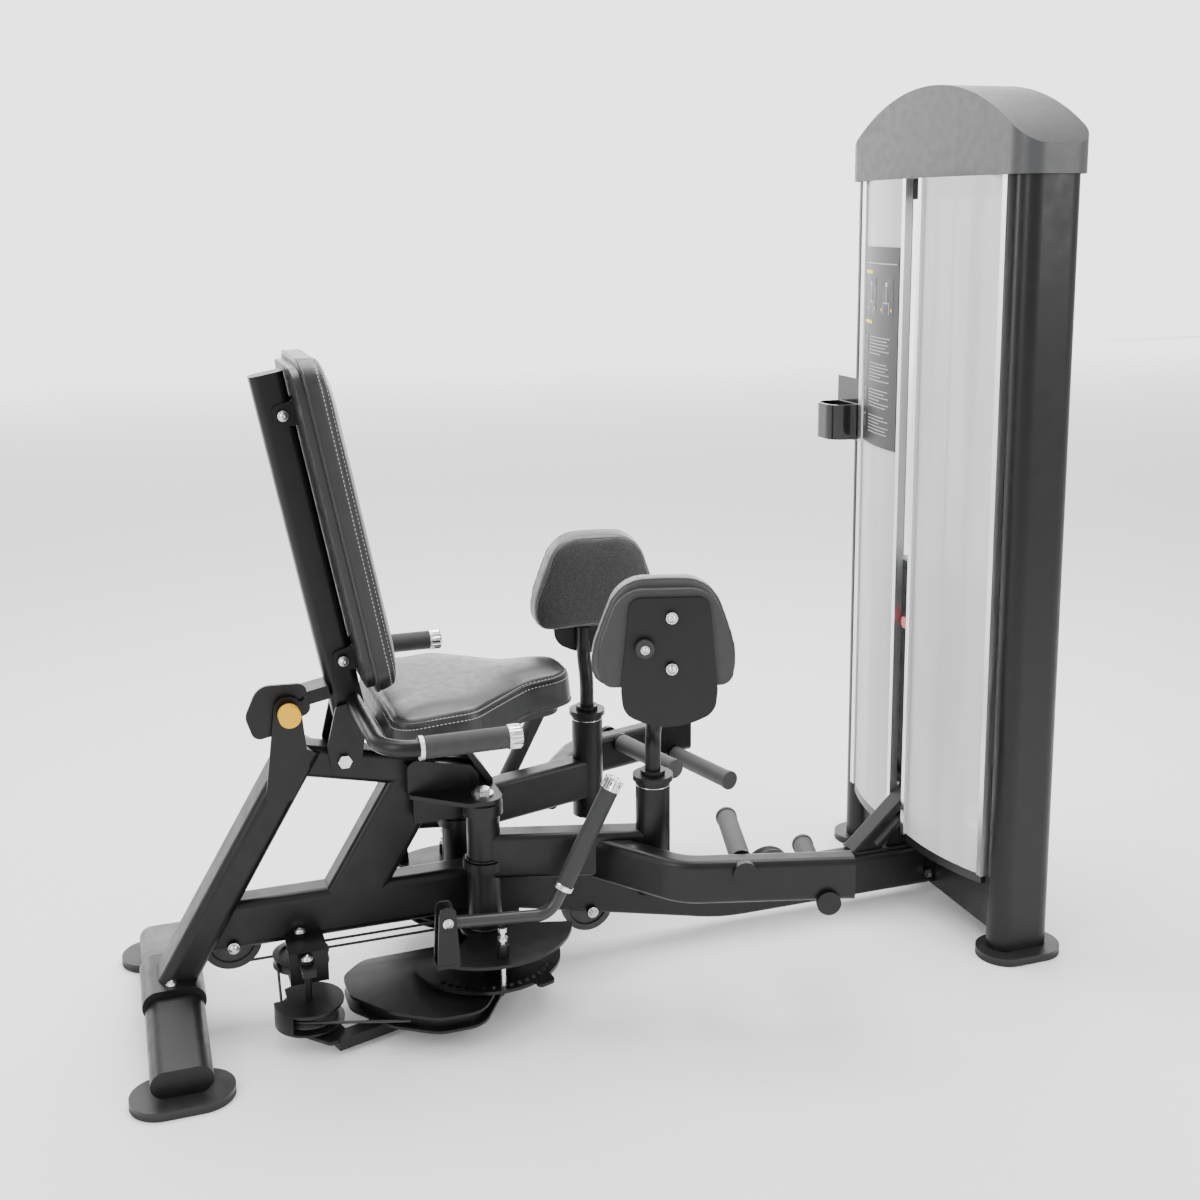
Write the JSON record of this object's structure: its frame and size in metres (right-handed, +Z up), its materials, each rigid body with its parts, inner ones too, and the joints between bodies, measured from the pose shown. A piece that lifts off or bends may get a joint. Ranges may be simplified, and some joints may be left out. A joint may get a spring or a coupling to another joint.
{
  "type": "hip abductor machine",
  "caption": "Seated hip abductor machine: reclining back rest, swinging arms with thigh pads and foot pegs, and a cable-driven weight stack in a shrouded tower.",
  "frame": {"origin": "on the floor at the middle of the machine's footprint", "axes": "+X the way the user faces, towards the weight tower; +Y the user's left; +Z up"},
  "size_m": [1.7187, 0.8226, 1.64],
  "materials": {
    "frame_paint": "satin black powder coat",
    "foot_plate": "satin black powder coat",
    "foot_rubber": "matt rubber",
    "seat_vinyl": "satin vinyl, double stitched",
    "back_vinyl": "satin vinyl, double stitched",
    "pad_vinyl": "matt textured vinyl",
    "board": "matt moulded backing",
    "cover_plastic": "fine grain moulding",
    "frosted_panel": "frosted translucent sheet",
    "profile_aluminium": "satin anodised",
    "stack_iron": "black painted iron",
    "chrome": "polished",
    "cable": "black sheathed steel rope",
    "pulley": "moulded nylon",
    "roller_rubber": "grey foam rubber",
    "grip_rubber": "ribbed rubber",
    "zinc": "zinc plated",
    "yellow_knob": "glossy",
    "pin_red": "glossy",
    "holder_plastic": "glossy",
    "placard": "printed plate without text"
  },
  "bodies": {
    "frame": {"foot_plates": "foot_plate", "foot_rubbers": "foot_rubber", "rear_stabilizer": "frame_paint", "rear_upright": "frame_paint", "base_tube": "frame_paint", "seat_post": "frame_paint", "seat_beam": "frame_paint", "pivot_carrier": "frame_paint", "pivot_base": "frame_paint", "pivot_shafts": "chrome", "seat_board": "board", "seat_pad": "seat_vinyl", "tower_uprights": "frame_paint", "tower_base_beam": "frame_paint", "tower_top_beam": "frame_paint", "top_cover": "cover_plastic", "shroud_right": "frosted_panel", "shroud_left": "frosted_panel", "shroud_rear": "frosted_panel", "shroud_profiles": "profile_aluminium", "guide_rods": "chrome", "resting_plates": "stack_iron", "bottle_holder": "holder_plastic", "placard": "placard", "pulley_brackets": "frame_paint", "main_cable": "cable", "sync_cable": "cable", "lift_cable": "cable", "frame_fasteners": "zinc"},
    "backrest": {"back_post": "frame_paint", "back_board": "board", "back_pad": "back_vinyl", "handle_grips": "grip_rubber"},
    "recline_pull": {"recline_knob": "yellow_knob"},
    "lifted_stack": {"lifted_plates": "stack_iron", "selector_rod": "chrome"},
    "stack_pin": {"selector_pin": "pin_red"},
    "top_pulley_wheel": {"top_pulley": "pulley"},
    "tower_base_pulley_wheel": {"tower_base_pulley": "pulley"},
    "middle_pulley_wheel": {"middle_pulley": "pulley"},
    "front_pulley_wheel": {"front_pulley": "pulley"},
    "rear_pulley_wheel": {"rear_pulley": "pulley"},
    "upper_side_pulley_wheel": {"upper_side_pulley": "pulley"},
    "lower_side_pulley_wheel": {"lower_side_pulley": "pulley"},
    "right_cam_body": {"right_cam": "frame_paint"},
    "right_arm_body": {"right_arm": "frame_paint", "right_rollers": "roller_rubber"},
    "right_pad_body": {"right_pad_post": "frame_paint", "right_pad_board": "board", "right_thigh_pad": "pad_vinyl"},
    "right_lever_body": {"right_lever": "frame_paint"},
    "right_pin_body": {"right_pull_pin": "zinc"},
    "left_cam_body": {"left_cam": "frame_paint"},
    "left_arm_body": {"left_arm": "frame_paint", "left_rollers": "roller_rubber"},
    "left_pad_body": {"left_pad_post": "frame_paint", "left_pad_board": "board", "left_thigh_pad": "pad_vinyl"},
    "left_lever_body": {"left_lever": "frame_paint"},
    "left_pin_body": {"left_pull_pin": "zinc"}
  },
  "joints": [
    {"name": "right_cam_turn", "type": "hinge", "parent": "frame", "child": "right_cam_body", "pos_m": [-0.229, -0.104, 0.05], "axis": [0, 0, -1], "range_deg": [0, 38]},
    {"name": "left_cam_turn", "type": "hinge", "parent": "frame", "child": "left_cam_body", "pos_m": [-0.229, 0.104, 0.05], "axis": [0, 0, 1], "range_deg": [0, 38]},
    {"name": "stack_lift", "type": "slide", "parent": "frame", "child": "lifted_stack", "axis": [0, 0, 1], "range_m": [0, 0.0695], "deforming": ["lift_cable"]},
    {"name": "top_pulley_turn", "type": "hinge", "parent": "frame", "child": "top_pulley_wheel", "pos_m": [0.796, 0, 1.5], "axis": [0, 1, 0], "range_deg": [0, 132.2]},
    {"name": "tower_base_pulley_turn", "type": "hinge", "parent": "frame", "child": "tower_base_pulley_wheel", "pos_m": [0.788, 0, 0.0875], "axis": [0, 1, 0], "range_deg": [0, 104.5]},
    {"name": "middle_pulley_turn", "type": "hinge", "parent": "frame", "child": "middle_pulley_wheel", "pos_m": [-0.002, 0, 0.095], "axis": [0, -1, 0], "range_deg": [0, 90.3]},
    {"name": "front_pulley_turn", "type": "hinge", "parent": "frame", "child": "front_pulley_wheel", "pos_m": [0.383, 0, 0.098], "axis": [0, 1, 0], "range_deg": [0, 86.4]},
    {"name": "rear_pulley_turn", "type": "hinge", "parent": "frame", "child": "rear_pulley_wheel", "pos_m": [-0.669, 0, 0.14], "axis": [0, -1, 0], "range_deg": [0, 84.6]},
    {"name": "upper_side_pulley_turn", "type": "hinge", "parent": "frame", "child": "upper_side_pulley_wheel", "pos_m": [-0.554, -0.044, 0.107], "axis": [0, 0, -1], "range_deg": [0, 90.3]},
    {"name": "lower_side_pulley_turn", "type": "hinge", "parent": "frame", "child": "lower_side_pulley_wheel", "pos_m": [-0.554, -0.137, 0.055], "axis": [0, 0, -1], "range_deg": [0, 90.3]},
    {"name": "right_arm_set", "type": "hinge", "parent": "right_cam_body", "child": "right_arm_body", "pos_m": [-0.229, -0.104, 0.3], "axis": [0, 0, -1], "range_deg": [-11.8, 14.2]},
    {"name": "right_pad_swivel", "type": "hinge", "parent": "right_arm_body", "child": "right_pad_body", "pos_m": [0.06448, -0.18705, 0.3], "axis": [0, 0, 1], "range_deg": [-20, 20]},
    {"name": "right_lever_lift", "type": "hinge", "parent": "right_arm_body", "child": "right_lever_body", "pos_m": [-0.327, -0.22, 0.213], "axis": [0, -1, 0], "range_deg": [0, 8], "stiffness_Nm_per_rad": 5, "springref_deg": -17.19},
    {"name": "right_pin_lift", "type": "slide", "parent": "right_arm_body", "child": "right_pin_body", "axis": [0, 0, 1], "range_m": [0, 0.0142]},
    {"name": "left_arm_set", "type": "hinge", "parent": "left_cam_body", "child": "left_arm_body", "pos_m": [-0.229, 0.104, 0.3], "axis": [0, 0, 1], "range_deg": [-11.8, 14.2]},
    {"name": "left_pad_swivel", "type": "hinge", "parent": "left_arm_body", "child": "left_pad_body", "pos_m": [0.06448, 0.18705, 0.3], "axis": [0, 0, 1], "range_deg": [-10, 30]},
    {"name": "left_lever_lift", "type": "hinge", "parent": "left_arm_body", "child": "left_lever_body", "pos_m": [-0.327, 0.22, 0.213], "axis": [0, -1, 0], "range_deg": [0, 8], "stiffness_Nm_per_rad": 5, "springref_deg": -17.19},
    {"name": "left_pin_lift", "type": "slide", "parent": "left_arm_body", "child": "left_pin_body", "axis": [0, 0, 1], "range_m": [0, 0.0142]},
    {"name": "pin_pull", "type": "slide", "parent": "lifted_stack", "child": "stack_pin", "axis": [-1, 0, 0], "range_m": [0, 0.065]},
    {"name": "backrest_recline", "type": "hinge", "parent": "frame", "child": "backrest", "pos_m": [-0.461, 0, 0.46], "axis": [0, -1, 0], "range_deg": [0, 12]},
    {"name": "recline_pull_out", "type": "slide", "parent": "frame", "child": "recline_pull", "axis": [0, -1, 0], "range_m": [0, 0.01], "stiffness_N_per_m": 600, "springref_m": -0.005}
  ],
  "couplings": [
    {"joint": "left_cam_turn", "follows": "right_cam_turn", "ratio": 1},
    {"joint": "stack_lift", "follows": "right_cam_turn", "m_per_rad": 0.104},
    {"joint": "top_pulley_turn", "follows": "right_cam_turn", "ratio": 3.4667},
    {"joint": "tower_base_pulley_turn", "follows": "right_cam_turn", "ratio": 2.7368},
    {"joint": "middle_pulley_turn", "follows": "right_cam_turn", "ratio": 2.3636},
    {"joint": "front_pulley_turn", "follows": "right_cam_turn", "ratio": 2.2609},
    {"joint": "rear_pulley_turn", "follows": "right_cam_turn", "ratio": 2.2128},
    {"joint": "upper_side_pulley_turn", "follows": "right_cam_turn", "ratio": 2.3636},
    {"joint": "lower_side_pulley_turn", "follows": "right_cam_turn", "ratio": 2.3636},
    {"joint": "right_pin_lift", "follows": "right_lever_lift", "m_per_rad": 0.098},
    {"joint": "left_pin_lift", "follows": "left_lever_lift", "m_per_rad": 0.098}
  ]
}
